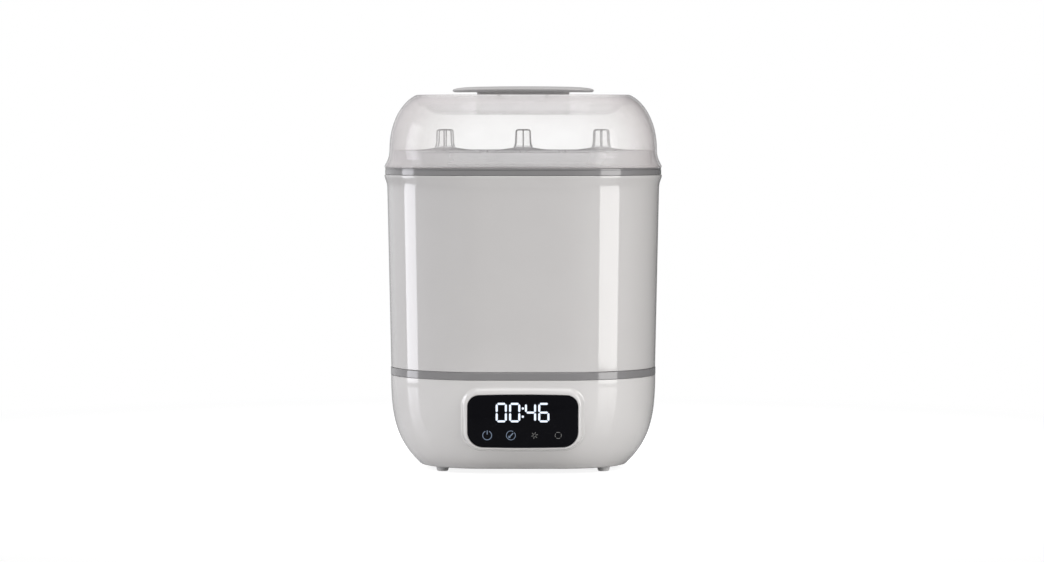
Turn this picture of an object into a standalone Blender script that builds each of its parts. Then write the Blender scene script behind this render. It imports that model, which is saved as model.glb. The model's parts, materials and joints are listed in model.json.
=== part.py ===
"""Countertop steam steriliser and dryer for feeding bottles.

The front faces -Y, +X is to the right and +Z is up. The origin is at the centre of the
footprint, on the plane the feet stand on. Dimensions are written in millimetres and
turned into metres where a mesh is made. The body is a racetrack in plan: two straight
sides joined by half circles, so one section, swept round it, makes each shell.
"""
import math

import bmesh
import bpy
from mathutils import Matrix, Vector

MM = 0.001

# Driving dimensions
STRAIGHT = 38.0        # half length of the racetrack's straight sides, the same at every height
ARC_STEPS = 12         # facets of each half circle
GAP = 0.3              # clearance between pieces that touch
WALL = 2.8             # moulded wall of the base and the chamber
LID_WALL = 2.2

BODY_R = 94.3          # racetrack end radius at the top of the base
BASE_FOOT_Z = 5.1      # underside of the base
BASE_TOP_Z = 94.4
BAND_TOP_Z = 102.1     # top of the lower grey band
BAND_R = 94.5
CHAMBER_FOOT_R = 94.1
CHAMBER_TOP_Z = 294.0
CHAMBER_TOP_R = 100.5
RIM_TOP_Z = 301.0      # top of the upper grey band
RIM_R = 99.9
LID_BOTTOM_Z = 301.4
LID_TOP_Z = 373.5
BASIN_FLOOR_Z = 356.1
PLATE_R = 32.6         # racetrack end radius of the handle plate
HANDLE_TOP_Z = 382.0
NECK_R = 8.0
DECK_TOP_Z = 95.7
DECK_THICKNESS = 2.5
RACK_FLOOR_Z = 118.3
RACK_RIM_R = 90.5
RACK_PEG_TOP_Z = 172.0
TAB_X = 121.0          # lifting tabs at the rack's ends
TRAY_DECK_Z = 318.5
PEG_TOP_Z = 339.5
PEG_PITCH_X = 78.0
PEG_ROW_Y = 38.0

FOOT_X, FOOT_Y = 80.0, 30.0
POST_X, POST_Y = 52.0, 46.0
PAN_X, PAN_R = -30.0, 45.0
OUTLET_X = 76.5
BLOWER_X, BLOWER_Z = 64.0, 35.0
FILTER_X, FILTER_Z = -14.5, 66.0
FILTER_W, FILTER_H = 46.0, 31.0
INLET_X, INLET_Z = 26.0, 66.0
INLET_W, INLET_H = 22.0, 15.0
LENS_Z, LENS_W, LENS_H = 54.8, 108.0, 51.8
BEZEL_Z, BEZEL_W, BEZEL_H = 55.9, 118.8, 62.0
BEZEL_FACE_Y = -97.0
KEY_PITCH, KEY_Z = 23.1, 41.1
HANDLE_SCREW_X = 24.0

FRONT_TO_BACK = (math.pi / 2, 0, 0)    # turns a piece's own upright axis to run along Y
BACK_TO_FRONT = (-math.pi / 2, 0, 0)


def clear_scene():
    for ob in list(bpy.data.objects):
        bpy.data.objects.remove(ob)


def collection(name):
    made = bpy.data.collections.new(name)
    bpy.context.scene.collection.children.link(made)
    return made


clear_scene()
PARTS = collection("bottle_sterilizer")
CUTTERS = collection("cutters")


def material(name, colour, roughness, metallic=0.0, alpha=1.0):
    mat = bpy.data.materials.new(name)
    mat.use_nodes = True
    bsdf = mat.node_tree.nodes["Principled BSDF"]
    bsdf.inputs["Base Color"].default_value = (*colour, 1.0)
    bsdf.inputs["Roughness"].default_value = roughness
    bsdf.inputs["Metallic"].default_value = metallic
    bsdf.inputs["Alpha"].default_value = alpha
    return mat


OFF_WHITE = material("off_white_plastic", (0.62, 0.60, 0.585), 0.18)
GREY = material("grey_plastic", (0.27, 0.26, 0.255), 0.45)
CLEAR = material("frosted_clear_plastic", (0.80, 0.78, 0.77), 0.25, alpha=0.45)
BLACK_GLASS = material("black_glass", (0.008, 0.008, 0.01), 0.06)
RUBBER = material("foot_rubber", (0.35, 0.35, 0.34), 0.7)
SILICONE = material("silicone", (0.55, 0.55, 0.54), 0.5)
STEEL = material("stainless_steel", (0.62, 0.61, 0.59), 0.28, 1.0)
DARK_PLASTIC = material("dark_plastic", (0.05, 0.05, 0.05), 0.5)
BOARD = material("circuit_board", (0.02, 0.12, 0.05), 0.45)
FOAM = material("filter_foam", (0.30, 0.31, 0.33), 0.95)
COPPER = material("copper_alloy", (0.55, 0.36, 0.2), 0.35, 1.0)


# Builders

def finish_mesh(bm, name, mat, target=PARTS, location=(0, 0, 0), rotation=(0, 0, 0)):
    """Turns a bmesh in millimetres into a named object in metres."""
    bmesh.ops.scale(bm, vec=(MM, MM, MM), verts=bm.verts)
    mesh = bpy.data.meshes.new(name)
    bm.to_mesh(mesh)
    bm.free()
    ob = bpy.data.objects.new(name, mesh)
    ob.location = Vector(location) * MM
    ob.rotation_euler = rotation
    target.objects.link(ob)
    if mat:
        mesh.materials.append(mat)
    mesh.shade_smooth()
    mesh.set_sharp_from_angle(angle=math.radians(32))
    if target is CUTTERS:
        ob.hide_render = True
        ob.display_type = "WIRE"
    return ob


def racetrack_mesh(profile, closed):
    """Sweeps a section of (end radius, height) points round the racetrack."""
    bm = bmesh.new()
    verts = [bm.verts.new((STRAIGHT, -r, z)) for r, z in profile]
    pairs = list(zip(verts, verts[1:]))
    if closed:
        pairs.append((verts[-1], verts[0]))
    edges = [bm.edges.new(pair) for pair in pairs]
    for side in (1, -1):
        spun = bmesh.ops.spin(
            bm, geom=edges, cent=(side * STRAIGHT, 0, 0), axis=(0, 0, 1),
            angle=math.pi, steps=ARC_STEPS,
        )
        edges = [e for e in spun["geom_last"] if isinstance(e, bmesh.types.BMEdge)]
        run = bmesh.ops.extrude_edge_only(bm, edges=edges)
        moved = [v for v in run["geom"] if isinstance(v, bmesh.types.BMVert)]
        bmesh.ops.translate(bm, verts=moved, vec=(-2 * side * STRAIGHT, 0, 0))
        edges = [e for e in run["geom"] if isinstance(e, bmesh.types.BMEdge)]
    bmesh.ops.remove_doubles(bm, verts=bm.verts, dist=0.02)
    bmesh.ops.recalc_face_normals(bm, faces=bm.faces)
    return bm


def racetrack(name, profile, mat, closed=False, target=PARTS):
    """A solid whose section starts and ends at radius 0, or is a closed loop."""
    return finish_mesh(racetrack_mesh(profile, closed), name, mat, target)


def racetrack_shell(name, profile, thickness, mat):
    """A shell whose outer face follows the section, which runs up the outside first."""
    bm = racetrack_mesh(profile, False)
    bm.faces.ensure_lookup_table()
    outer = max(bm.faces, key=lambda f: f.calc_center_median().x)
    if outer.normal.x < 0:
        bmesh.ops.reverse_faces(bm, faces=bm.faces)
    ob = finish_mesh(bm, name, mat)
    solid = ob.modifiers.new("wall", "SOLIDIFY")
    solid.thickness = thickness * MM
    solid.offset = -1
    solid.use_even_offset = True
    return ob


def box(name, size, centre, mat=None, bevel=0.0, target=PARTS):
    bm = bmesh.new()
    bmesh.ops.create_cube(bm, size=1)
    bmesh.ops.scale(bm, vec=size, verts=bm.verts)
    ob = finish_mesh(bm, name, mat, target, location=centre)
    if bevel:
        rounding = ob.modifiers.new("edges", "BEVEL")
        rounding.width = bevel * MM
        rounding.segments = 2
    return ob


def turned(name, profile, centre, mat=None, steps=24, rotation=(0, 0, 0), target=PARTS):
    """A turned piece: the section of (radius, height) runs down its outer side."""
    bm = bmesh.new()
    verts = [bm.verts.new((r, 0, z)) for r, z in profile]
    loop = profile[0][0] > 0 and profile[-1][0] > 0
    for pair in zip(verts, verts[1:] + (verts[:1] if loop else [])):
        bm.edges.new(pair)
    ob = finish_mesh(bm, name, mat, target, location=centre, rotation=rotation)
    screw = ob.modifiers.new("turn", "SCREW")
    screw.steps = screw.render_steps = steps
    screw.use_merge_vertices = True
    screw.merge_threshold = 1e-5
    screw.use_smooth_shade = True
    return ob


def rod(name, radius, low, high, centre, mat=None, steps=12, rotation=(0, 0, 0), target=PARTS):
    """A plain cylinder between two heights of its own axis."""
    section = [(0, high), (radius, high), (radius, low), (0, low)]
    return turned(name, section, centre, mat, steps, rotation, target)


def prism(name, outlines, low, high, mat=None, target=PARTS, top_scale=1.0, **place):
    """Straight prisms over flat outlines; each may narrow towards its top."""
    bm = bmesh.new()
    for outline in outlines:
        face = bm.faces.new([bm.verts.new((x, y, low)) for x, y in outline])
        middle = face.calc_center_median()
        raised = bmesh.ops.extrude_face_region(bm, geom=[face])
        top = [v for v in raised["geom"] if isinstance(v, bmesh.types.BMVert)]
        bmesh.ops.translate(bm, verts=top, vec=(0, 0, high - low))
        bmesh.ops.scale(
            bm, vec=(top_scale, top_scale, 1), verts=top, space=Matrix.Translation(-middle)
        )
    bmesh.ops.recalc_face_normals(bm, faces=bm.faces)
    return finish_mesh(bm, name, mat, target, **place)


def loft(name, rings, mat=None, closed=False, target=PARTS):
    """Joins unlike rings of points; closed joins the last ring to the first."""
    bm = bmesh.new()
    rows = [[bm.verts.new(point) for point in ring] for ring in rings]
    count = len(rows[0])
    for row, following in zip(rows, rows[1:] + (rows[:1] if closed else [])):
        for i in range(count):
            j = (i + 1) % count
            bm.faces.new((row[i], row[j], following[j], following[i]))
    if not closed:
        bm.faces.new(rows[0])
        bm.faces.new(rows[-1])
    bmesh.ops.recalc_face_normals(bm, faces=bm.faces)
    return finish_mesh(bm, name, mat, target)


def boolean(ob, other, operation):
    step = ob.modifiers.new(other.name, "BOOLEAN")
    step.operation = operation
    step.solver = "EXACT"
    step.object = other


def cut(ob, *others):
    for other in others:
        boolean(ob, other, "DIFFERENCE")


def join(ob, *others):
    for other in others:
        boolean(ob, other, "UNION")


def cable(name, points, radius, mat):
    """A thin lead along a smooth curve through its route points."""
    smooth = []
    ends = [points[0]] + points + [points[-1]]
    for a, b, c, d in zip(ends, ends[1:], ends[2:], ends[3:]):
        a, b, c, d = (Vector(p) for p in (a, b, c, d))
        for step in range(3):
            t = step / 3
            smooth.append(0.5 * (2 * b + (c - a) * t + (2 * a - 5 * b + 4 * c - d) * t * t
                                 + (3 * b - a - 3 * c + d) * t ** 3))
    smooth.append(Vector(points[-1]))
    curve = bpy.data.curves.new(name, "CURVE")
    curve.dimensions = "3D"
    curve.bevel_depth = radius * MM
    curve.bevel_resolution = 2
    curve.use_fill_caps = True
    spline = curve.splines.new("POLY")
    spline.points.add(len(smooth) - 1)
    for target, point in zip(spline.points, smooth):
        target.co = (*(point * MM), 1)
    ob = bpy.data.objects.new(name, curve)
    curve.materials.append(mat)
    PARTS.objects.link(ob)
    return ob


def arc(centre, radius, start, end, steps):
    """Points along an arc, with angles in degrees; radius may be a pair of half axes."""
    rx, ry = radius if isinstance(radius, tuple) else (radius, radius)
    for step in range(steps + 1):
        a = math.radians(start + (end - start) * step / steps)
        yield centre[0] + rx * math.cos(a), centre[1] + ry * math.sin(a)


def panel_outline(width, height, z_mid, r_top, r_bottom, bulge=1.0, steps=5):
    """A panel's outline as (x, z): bowed edges, with smaller corners at the top."""
    half_w, half_h = width / 2, height / 2
    corners = [
        (half_w - r_bottom, r_bottom - half_h, r_bottom, -90),
        (half_w - r_top, half_h - r_top, r_top, 0),
        (r_top - half_w, half_h - r_top, r_top, 90),
        (r_bottom - half_w, r_bottom - half_h, r_bottom, 180),
    ]
    points = []
    for cx, cz, radius, start in corners:
        points += arc((cx, cz), radius, start, start + 90, steps)
    bowed = []
    for x, z in points:
        inset = bulge * (x / half_w) ** 2
        bowed.append((x, z_mid + z - inset * z / half_h))
    return bowed


def four(x, y):
    """Front left, front right, rear left and rear right."""
    return [(-x, -y), (x, -y), (-x, y), (x, y)]


def base_outer_r(z):
    """End radius of the base's outer wall: upright under the band, curving in below."""
    t = BASE_TOP_Z + 0.6 - z
    return BODY_R - 1.196e-3 * t ** 2 - 3.121e-7 * t ** 4


# Base

def build_base_housing():
    heights = (94.4, 82, 68, 55, 43, 32, 23, 15.5, 10, 7)
    outer = [(base_outer_r(z), z) for z in heights]
    foot_r = base_outer_r(7)
    floor = [(foot_r - 1.6, 5.6), (foot_r - 3.0, BASE_FOOT_Z), (60.3, BASE_FOOT_Z)]
    ledge = [(60.3, 8.2), (56.5, 8.2), (56.5, 10.7), (base_outer_r(10.7) - WALL - 0.4, 10.7)]
    inner = [(base_outer_r(z) - WALL, z) for z in heights[-3::-1] if z < 90]
    rebate = [(BODY_R - WALL, 92.9), (BODY_R - 1.6, 92.9), (BODY_R - 1.6, BASE_TOP_Z)]
    housing = racetrack("base_housing", outer + floor + ledge + inner + rebate, OFF_WHITE, True)
    mouth = panel_outline(BEZEL_W + 2 * GAP, BEZEL_H + 2 * GAP, BEZEL_Z, 16, 19)
    front = loft("display_mouth", [[(x, y, z) for x, z in mouth] for y in (-110, -60)],
                 target=CUTTERS)
    rear = box("filter_mouth", (FILTER_W, 40, FILTER_H), (FILTER_X, 95, FILTER_Z),
               target=CUTTERS)
    inlet = box("inlet_mouth", (INLET_W + 2 * GAP, 40, INLET_H + 2 * GAP),
                (INLET_X, 95, INLET_Z), target=CUTTERS)
    cut(housing, front, rear, inlet)


def build_bottom_plate():
    plate = racetrack("bottom_plate", [(0, 7.9), (60, 7.9), (60, 5.4), (0, 5.4)], GREY)
    bore = [(0, 9), (1.9, 9), (1.9, 7), (3.6, 7), (3.6, 4), (0, 4)]
    for i, (x, y) in enumerate(four(POST_X, POST_Y), 1):
        cut(plate, turned(f"screw_bore_{i}", bore, (x, y, 0), target=CUTTERS, steps=10))
    for i, (x, y) in enumerate(four(FOOT_X, FOOT_Y), 1):
        cut(plate, rod(f"foot_bore_{i}", 3.3, 4, 9, (x, y, 0), target=CUTTERS))
    for i, (x, y) in enumerate([(-66, -14), (-66, 34), (6, -14), (6, 34)], 1):
        join(plate, rod(f"board_stand_{i}", 2.5, 7, 15.7, (x, y, 0), target=CUTTERS, steps=12))
    slots = [box(f"floor_vent_{i}", (20, 2.4, 6), (64, -12 + 6 * i, 6.6), target=CUTTERS)
             for i in range(5)]
    cut(plate, *slots)


def build_feet_and_screws():
    places = ("front_left", "front_right", "rear_left", "rear_right")
    foot = [(0, 9.5), (3.0, 9.5), (3.0, 5.1), (6.6, 5.1), (6.4, 4.2), (5.5, 0.6), (4.9, 0), (0, 0)]
    screw = [(0, 22), (1.3, 22), (1.3, 6.7), (3.2, 6.7), (3.2, 5.5), (0, 5.5)]
    for place, (x, y) in zip(places, four(FOOT_X, FOOT_Y)):
        turned(f"foot_{place}", foot, (x, y, 0), RUBBER, 14)
    for place, (x, y) in zip(places, four(POST_X, POST_Y)):
        turned(f"base_screw_{place}", screw, (x, y, 0), STEEL, 8)


def build_top_deck():
    section = [
        (0, DECK_TOP_Z), (86.8, DECK_TOP_Z), (86.8, 106.5), (89.6, 106.5), (89.6, DECK_TOP_Z),
        (92.1, DECK_TOP_Z), (92.1, DECK_TOP_Z - DECK_THICKNESS), (0, DECK_TOP_Z - DECK_THICKNESS),
    ]
    deck = racetrack("top_deck", section, OFF_WHITE)
    for i, (x, y) in enumerate(four(POST_X, POST_Y), 1):
        join(deck, rod(f"deck_post_{i}", 4.0, 8.4, 94.5, (x, y, 0), target=CUTTERS))
        cut(deck, rod(f"post_bore_{i}", 1.6, 6, 24, (x, y, 0), target=CUTTERS, steps=12))
    cut(deck, rod("pan_hole", PAN_R + 0.5, 90, 100, (PAN_X, 0, 0), target=CUTTERS, steps=28))
    cut(deck, rod("outlet_hole", 17.4, 90, 100, (OUTLET_X, 0, 0), target=CUTTERS, steps=20))


def build_lower_trim_ring():
    low, seat = BASE_TOP_Z + GAP, DECK_TOP_Z + GAP
    section = [(BAND_R, low), (BAND_R, BAND_TOP_Z), (89.9, BAND_TOP_Z), (89.9, seat),
               (92.6, seat), (92.6, low)]
    racetrack("lower_trim_ring", section, GREY, True)


def build_water_heater():
    pan = [
        (0, 85.2), (41, 85.2), (43.6, 87.8), (43.6, 98.5), (49.5, 98.5), (49.5, 97.5),
        (PAN_R, 97.5), (PAN_R, 87.2), (41.6, 84.0), (0, 84.0),
    ]
    turned("water_pan", pan, (PAN_X, 0, 0), STEEL, 28)
    seal = [(49.0, 97.2), (49.0, 96.0), (45.6, 96.0), (45.6, 97.2)]
    turned("pan_seal", seal, (PAN_X, 0, 0), SILICONE, 28)
    loop = [(PAN_X + x, y, 79.2) for x, y in arc((0, 0), 32, 200, 500, 7)]
    tails = [(x + 2, y, 60) for x, y, _ in (loop[0], loop[-1])]
    cable("heater_element", [tails[0], *loop, tails[1]], 3.2, STEEL)
    rod("thermostat", 7.5, 78.6, 83.6, (PAN_X, 0, 0), DARK_PLASTIC, 20)
    rod("thermal_fuse", 2.6, -8, 8, (PAN_X, 17, 80.8), STEEL, 12, (0, math.pi / 2, 0))


def build_blower():
    rim = list(arc((BLOWER_X, BLOWER_Z), 23, 0, -275, 22))
    core = list(arc((BLOWER_X, BLOWER_Z), 21.5, 0, -275, 22))
    turn = {"rotation": FRONT_TO_BACK}
    scroll = prism("blower_housing", [rim + [(66, 60), (87, 60)]], -13, 13, DARK_PLASTIC, **turn)
    hollow = prism("scroll_hollow", [core + [(67.5, 66), (85.5, 66)]], -11.5, 11.5,
                   target=CUTTERS, **turn)
    centre = (BLOWER_X, 0, BLOWER_Z)
    eye = rod("blower_eye", 12, 10, 16, centre, steps=24, target=CUTTERS, **turn)
    cut(scroll, hollow, eye, rod("shaft_hole", 2.2, -16, -10, centre, target=CUTTERS, **turn))
    motor = rod("blower_motor", 12, -31, -13.3, centre, STEEL, 20, **turn)
    cut(motor, rod("motor_bore", 1.8, -28, -12, centre, target=CUTTERS, **turn))
    rod("blower_shaft", 1.5, -27, 9, centre, STEEL, **turn)
    blades, hub_r, tip_r = 11, 8, 17
    outline = []
    for k in range(blades):
        for radius, share in ((hub_r, 0.0), (tip_r, 0.18), (tip_r, 0.30), (hub_r, 0.46)):
            a = 2 * math.pi * (k + share) / blades
            outline.append((BLOWER_X + radius * math.cos(a), BLOWER_Z + radius * math.sin(a)))
    wheel = prism("impeller", [outline], -8, 8, GREY, **turn)
    cut(wheel, rod("impeller_bore", 1.8, -12, 12, centre, target=CUTTERS, **turn))


def build_air_outlet():
    heater = box("air_heater", (26, 28, 13), (OUTLET_X, 0, 67.2), DARK_PLASTIC)
    cut(heater, *[box(f"heater_slot_{i}", (20, 2.4, 20), (OUTLET_X, -10 + 4 * i, 67.2),
                      target=CUTTERS) for i in range(6)])
    duct = [(17, 97.5), (17, 76.5), (19.5, 74.0), (12.5, 74.0), (15.2, 77), (15.2, 97.5)]
    turned("air_duct", duct, (OUTLET_X, 0, 0), DARK_PLASTIC, 20)
    cap = [(0, 112), (21, 112), (24, 109), (24, DECK_TOP_Z + GAP), (22, DECK_TOP_Z + GAP),
           (22, 108.2), (20.2, 110), (0, 110)]
    hood = turned("air_outlet_cap", cap, (OUTLET_X, 0, 0), OFF_WHITE, 20)
    for i in range(4):
        louvre = box(f"outlet_louvre_{i}", (60, 7, 7), (OUTLET_X, 0, 103.5), target=CUTTERS)
        louvre.rotation_euler.z = math.pi * (i + 0.5) / 4
        cut(hood, louvre)


def build_filter():
    frame = box("filter_frame", (50, 15, 35), (FILTER_X, 78.5, FILTER_Z), OFF_WHITE)
    pocket = box("filter_pocket", (FILTER_W, 20, FILTER_H), (FILTER_X, 83, FILTER_Z),
                 target=CUTTERS)
    through = box("filter_through", (40, 40, 25), (FILTER_X, 80, FILTER_Z), target=CUTTERS)
    cut(frame, pocket, through)
    box("filter_pad", (44, 11.5, 29), (FILTER_X, 79.3, FILTER_Z), FOAM, bevel=1.5)
    heights = [FILTER_Z + s * (FILTER_H / 2 - GAP) for s in (1, 0.5, 0, -0.5, -1)]
    section = [(base_outer_r(z), z) for z in heights]
    section += [(base_outer_r(z) - 2.5, z) for z in reversed(heights)]
    half = FILTER_W / 2 - GAP
    rows = [[(FILTER_X + x, y, z) for y, z in section] for x in (-half, half)]
    cover = loft("filter_cover", rows, OFF_WHITE)
    cut(cover, *[box(f"cover_louvre_{i}", (36, 30, 2.6), (FILTER_X, 92, FILTER_Z - 10 + 5 * i),
                     target=CUTTERS) for i in range(5)])


def build_power():
    inlet = box("power_inlet", (INLET_W, 20, INLET_H), (INLET_X, 82.5, INLET_Z), DARK_PLASTIC)
    socket = box("inlet_socket", (16, 20, 10), (INLET_X, 89.5, INLET_Z), bevel=4,
                 target=CUTTERS)
    cut(inlet, socket)
    for side, name in ((-1, "left"), (1, "right")):
        place = (INLET_X + 4.3 * side, 0, INLET_Z)
        cut(inlet, rod(f"pin_bore_{name}", 1.5, 70, 82, place, rotation=BACK_TO_FRONT,
                       target=CUTTERS))
        rod(f"inlet_pin_{name}", 1.2, 74, 89, place, COPPER, rotation=BACK_TO_FRONT)
    box("power_board", (80, 60, 1.6), (PAN_X, 10, 16.8), BOARD)
    box("power_relay", (18, 14, 14), (-52, 22, 24.9), DARK_PLASTIC, bevel=0.6)
    box("power_transformer", (28, 24, 20), (-12, 20, 27.9), COPPER, bevel=1.2)
    rod("filter_capacitor", 6, 17.9, 36, (-40, -8, 0), DARK_PLASTIC)
    cable("mains_lead", [(26, 71.5, 66), (26, 64, 64), (20, 54, 46), (10, 44, 28), (6, 36, 20.4)],
          2.0, DARK_PLASTIC)
    cable("display_cable", [(-20, -82.5, 46), (-22, -70, 40), (-26, -44, 26), (-30, -14, 19.6)],
          1.4, GREY)


def build_display():
    def ring(width, height, z_mid, r_top, r_bottom, y):
        return [(x, y, z) for x, z in panel_outline(width, height, z_mid, r_top, r_bottom)]

    rear, face, ledge = -74.0, BEZEL_FACE_Y, BEZEL_FACE_Y + 1.8
    bezel = [
        ring(BEZEL_W, BEZEL_H, BEZEL_Z, 16, 19, rear),
        ring(BEZEL_W, BEZEL_H, BEZEL_Z, 16, 19, face + 4.5),
        ring(115.5, 58, 55.3, 14, 17.5, face + 0.8),
        ring(113.6, 56.4, 55.0, 13, 16.5, face),
        ring(LENS_W + 2 * GAP, LENS_H + 2 * GAP, LENS_Z, 11, 15, face),
        ring(LENS_W + 2 * GAP, LENS_H + 2 * GAP, LENS_Z, 11, 15, ledge),
        ring(101, 45, LENS_Z, 9, 12, ledge),
        ring(101, 45, LENS_Z, 9, 12, rear),
    ]
    loft("display_bezel", bezel, OFF_WHITE, closed=True)
    lens = [ring(LENS_W, LENS_H, LENS_Z, 11, 15, y) for y in (face + 0.1, ledge - GAP)]
    loft("display_lens", lens, BLACK_GLASS)
    box("display_board", (92, 1.6, 37), (0, -85, LENS_Z), BOARD)
    box("led_display", (62, 7.5, 22), (0, -90, 63.4), DARK_PLASTIC, bevel=0.5)
    for i in range(4):
        rod(f"touch_spring_{i + 1}", 3.5, 86.1, 94.9, (KEY_PITCH * (i - 1.5), 0, KEY_Z), COPPER,
            rotation=FRONT_TO_BACK)


# Chamber and what stands in it

def build_chamber():
    top = CHAMBER_TOP_Z
    flare = [(97.7, top - 15), (98.0, top - 11), (98.8, top - 7), (99.8, top - 4.7),
             (100.3, top - 2.8), (CHAMBER_TOP_R, top - 1.4), (CHAMBER_TOP_R, top - 0.4),
             (100.1, top)]
    seat = [(96.0, top), (96.0, top - 9.5), (94.9, top - 10.5)]
    inner_r = CHAMBER_FOOT_R - WALL
    ledge_top = RACK_FLOOR_Z - GAP
    ledge = [(91.6, ledge_top), (87, ledge_top), (87, ledge_top - 2.5),
             (inner_r, ledge_top - 2.5)]
    foot = [(inner_r, BAND_TOP_Z + GAP), (CHAMBER_FOOT_R, BAND_TOP_Z + GAP)]
    racetrack("chamber_shell", flare + seat + ledge + foot, OFF_WHITE, True)


def build_upper_trim_ring():
    top, low = RIM_TOP_Z, CHAMBER_TOP_Z + GAP
    skirt_inner, skirt_outer, skirt_low = 93.3, 95.6, CHAMBER_TOP_Z - 8.7
    section = [
        (RIM_R, low), (RIM_R, top - 1.9), (99.3, top - 1.5), (99.3, top - 1.0),
        (RIM_R, top - 0.6), (99.7, top), (skirt_inner, top), (skirt_inner, skirt_low),
        (skirt_outer, skirt_low), (skirt_outer, low),
    ]
    racetrack("upper_trim_ring", section, GREY, True)


def cross(centre, width, thickness):
    """A plus-shaped outline."""
    w, t = width / 2, thickness / 2
    arms = [(t, t), (t, w), (-t, w), (-t, t), (-w, t), (-w, -t), (-t, -t), (-t, -w), (t, -w),
            (t, -t), (w, -t), (w, t)]
    return [(centre[0] + x, centre[1] + y) for x, y in arms]


def peg_places():
    return [(i * PEG_PITCH_X, sy * PEG_ROW_Y) for i in (-1, 0, 1) for sy in (-1, 1)]


def build_bottle_rack():
    z = RACK_FLOOR_Z
    rim_inner, rim_top = RACK_RIM_R - 2.2, 148
    section = [(0, z + 2.5), (rim_inner, z + 2.5), (rim_inner, rim_top), (RACK_RIM_R, rim_top),
               (RACK_RIM_R, z), (0, z)]
    rack = racetrack("bottle_rack", section, CLEAR)
    pegs = prism("rack_pegs", [cross(p, 18, 3) for p in peg_places()], z + 1, RACK_PEG_TOP_Z,
                 target=CUTTERS, top_scale=0.98)
    join(rack, pegs)
    for side, name in ((-1, "left"), (1, "right")):
        join(rack, box(f"rack_tab_{name}", (2.4, 34, 92), (side * TAB_X, 0, 166),
                       target=CUTTERS))
        cut(rack, box(f"rack_grip_{name}", (20, 20, 10), (side * TAB_X, 0, 200),
                      target=CUTTERS))
    places = [(i, j) for i in (-0.75, -0.25, 0.25, 0.75) for j in (-1, 0, 1)]
    places += [(-1.25, 0), (1.25, 0)]
    slots = [box(f"rack_slot_{k}", (14, 30, 8), (i * PEG_PITCH_X, j * PEG_ROW_Y, z + 1),
                 target=CUTTERS) for k, (i, j) in enumerate(places)]
    cut(rack, *slots)


def build_accessory_tray():
    z = TRAY_DECK_Z
    low, flange_r = RIM_TOP_Z + GAP, 96.3
    section = [
        (0, z), (89.8, z), (91, z - 1.2), (91, low + 2.4), (flange_r, low + 1.6),
        (flange_r, low), (89, low), (89, z - 2), (0, z - 2),
    ]
    tray = racetrack("accessory_tray", section, CLEAR)
    for i, (x, y) in enumerate(peg_places(), 1):
        mound = [(0, z + 4.0), (7.5, z + 4.0), (9.5, z + 2.6), (17, z + 1.1), (27, z - 0.4),
                 (0, z - 0.4)]
        join(tray, turned(f"peg_mound_{i}", mound, (x, y, 0), target=CUTTERS, steps=12))
    pegs = prism("tray_pegs", [cross(p, 14.5, 2.4) for p in peg_places()], z - 1, PEG_TOP_Z,
                 target=CUTTERS, top_scale=0.9)
    join(tray, pegs)
    places = [(i, j) for i in (-0.5, 0.5) for j in (-1, 0, 1)] + [(i, 0) for i in (-1, 0, 1)]
    slots = [box(f"tray_slot_{k}", (8, 20, 8), (i * PEG_PITCH_X, j * PEG_ROW_Y, z - 1),
                 target=CUTTERS) for k, (i, j) in enumerate(places)]
    cut(tray, *slots)


# Lid

def lid_section():
    """The lid's outer face: lip, shoulder, flat rim, stepped bowl and central pedestal."""
    lip = [(100.4, LID_BOTTOM_Z), (100.3, 303.0), (99.0, 305.7), (97.2, 309.8), (96.0, 313.5)]
    shoulder = list(arc((57.1, 320), (38.4, 56), 0, 70.5, 6))
    step_z = 364.0
    rim = [(68.2, LID_TOP_Z), (66.6, 372.4), (66.0, step_z + 0.6), (57.6, step_z)]
    bowl = list(arc((41, step_z), (16, step_z - BASIN_FLOOR_Z), -20, -90, 3))
    pedestal = [(11.5, BASIN_FLOOR_Z), (9.4, 356), (8.4, 372.6), (7.6, LID_TOP_Z), (0, LID_TOP_Z)]
    return lip + shoulder + rim + bowl + pedestal


def build_lid():
    lid = racetrack_shell("lid_shell", lid_section(), LID_WALL, CLEAR)
    vents = [box(f"lid_vent_{i}_{j}", (14, 2.4, 20), (-36 + 24 * i, 24 * j, BASIN_FLOOR_Z),
                 target=CUTTERS) for i in range(4) for j in (-1, 1)]
    cut(lid, *vents)
    plate = [
        (0, HANDLE_TOP_Z), (20, 381.7), (29, 380.9), (31.8, 380.0), (PLATE_R, 379.0),
        (31.6, 377.6), (29.5, 376.8), (NECK_R, 376.6), (NECK_R, LID_TOP_Z + GAP),
        (0, LID_TOP_Z + GAP),
    ]
    handle = racetrack("lid_handle", plate, GREY)
    seat = LID_TOP_Z - LID_WALL - GAP
    screw = [(0, 378.6), (1.3, 378.6), (1.3, seat), (3.0, seat), (3.0, seat - 1.5),
             (0, seat - 1.5)]
    turn = (0, 0, math.radians(10))    # keeps the bores' corners off the plane y = 0
    for side, name in ((-1, "left"), (1, "right")):
        place = (HANDLE_SCREW_X * side, 0, 0)
        cut(lid, rod(f"lid_bore_{name}", 1.7, 366, 376, place, None, 10, turn, CUTTERS))
        cut(handle, rod(f"handle_bore_{name}", 1.6, 370, 379.2, place, None, 10, turn, CUTTERS))
        turned(f"handle_screw_{name}", screw, place, STEEL, 8)


build_base_housing()
build_bottom_plate()
build_feet_and_screws()
build_top_deck()
build_lower_trim_ring()
build_water_heater()
build_blower()
build_air_outlet()
build_filter()
build_power()
build_display()
build_chamber()
build_upper_trim_ring()
build_bottle_rack()
build_accessory_tray()
build_lid()
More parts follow.
